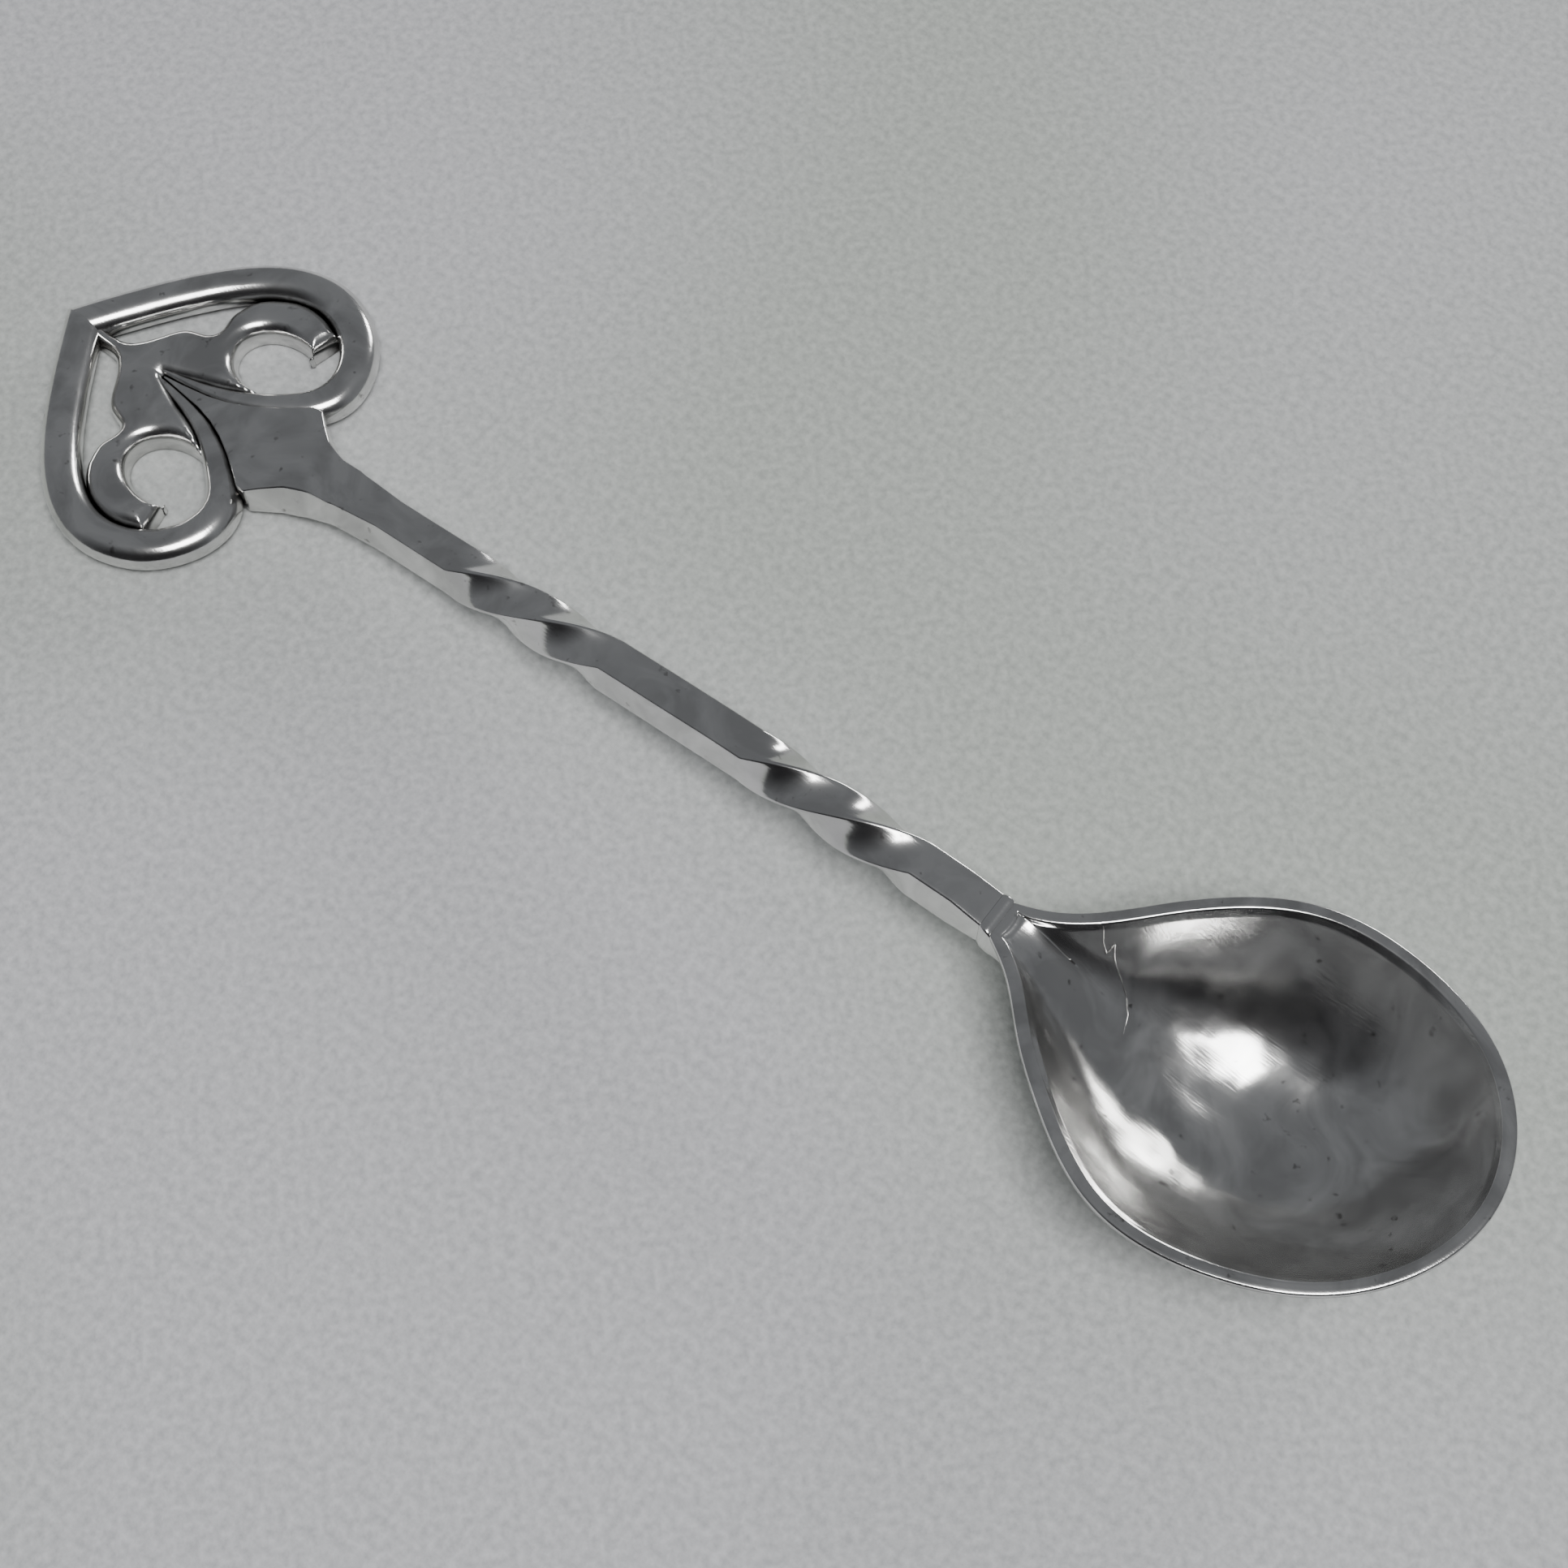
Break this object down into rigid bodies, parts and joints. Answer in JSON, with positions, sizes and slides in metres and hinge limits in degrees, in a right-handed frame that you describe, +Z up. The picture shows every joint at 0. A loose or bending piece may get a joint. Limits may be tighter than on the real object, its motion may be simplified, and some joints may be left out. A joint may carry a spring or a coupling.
{
  "type": "souvenir spoon",
  "caption": "Wrought silver souvenir spoon with a deep raised bowl, a square handle twisted in two places and an openwork heart at the end.",
  "frame": {"origin": "on the surface that the spoon lies on, under the middle of its length and of the heart's width", "axes": "+X along the handle from the heart to the tip of the bowl, +Y to the left, +Z up out of the open bowl"},
  "size_m": [0.1478, 0.0352, 0.013],
  "materials": {
    "bowl_silver": "polished silver, softly hammered inside, fine scratches",
    "handle_silver": "polished silver with forged facets and fine scratches",
    "heart_silver": "polished silver with dark tarnish left in the joins"
  },
  "bodies": {
    "root": {"bowl": "bowl_silver", "bowl_neck": "bowl_silver", "shank": "handle_silver", "shoulder": "handle_silver", "left_scroll_wire": "heart_silver", "right_scroll_wire": "heart_silver", "leaf": "heart_silver", "left_curl": "heart_silver", "right_curl": "heart_silver"}
  },
  "joints": []
}
